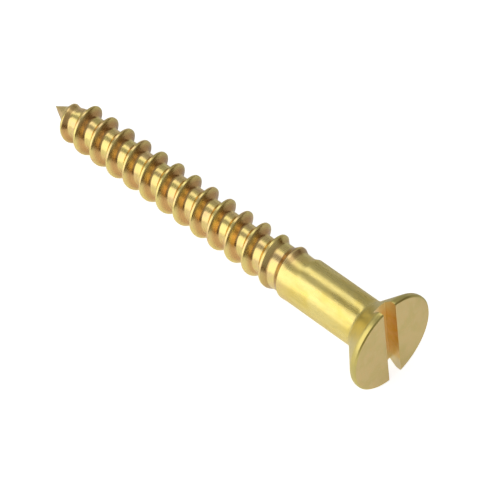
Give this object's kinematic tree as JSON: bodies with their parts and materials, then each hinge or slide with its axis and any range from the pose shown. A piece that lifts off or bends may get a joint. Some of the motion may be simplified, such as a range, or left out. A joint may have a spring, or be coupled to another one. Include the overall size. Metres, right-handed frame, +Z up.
{
  "type": "wood screw",
  "caption": "Solid brass wood screw: flat countersunk head with a screwdriver slot, plain shank, coarse right-hand thread and a gimlet point.",
  "frame": {"origin": "centre of the head's flat face, on the screw's axis: the point that ends flush with the wood", "axes": "+X along the screw's axis from the point out through the head, so the screw drives towards -X; the screwdriver slot runs along Z; +Z up with the screw lying down"},
  "size_m": [0.0381, 0.0086, 0.0084],
  "materials": {
    "brass": "plain bright brass, turned shank and thread, satin head"
  },
  "bodies": {
    "root": {"wood_screw": "brass"}
  },
  "joints": []
}
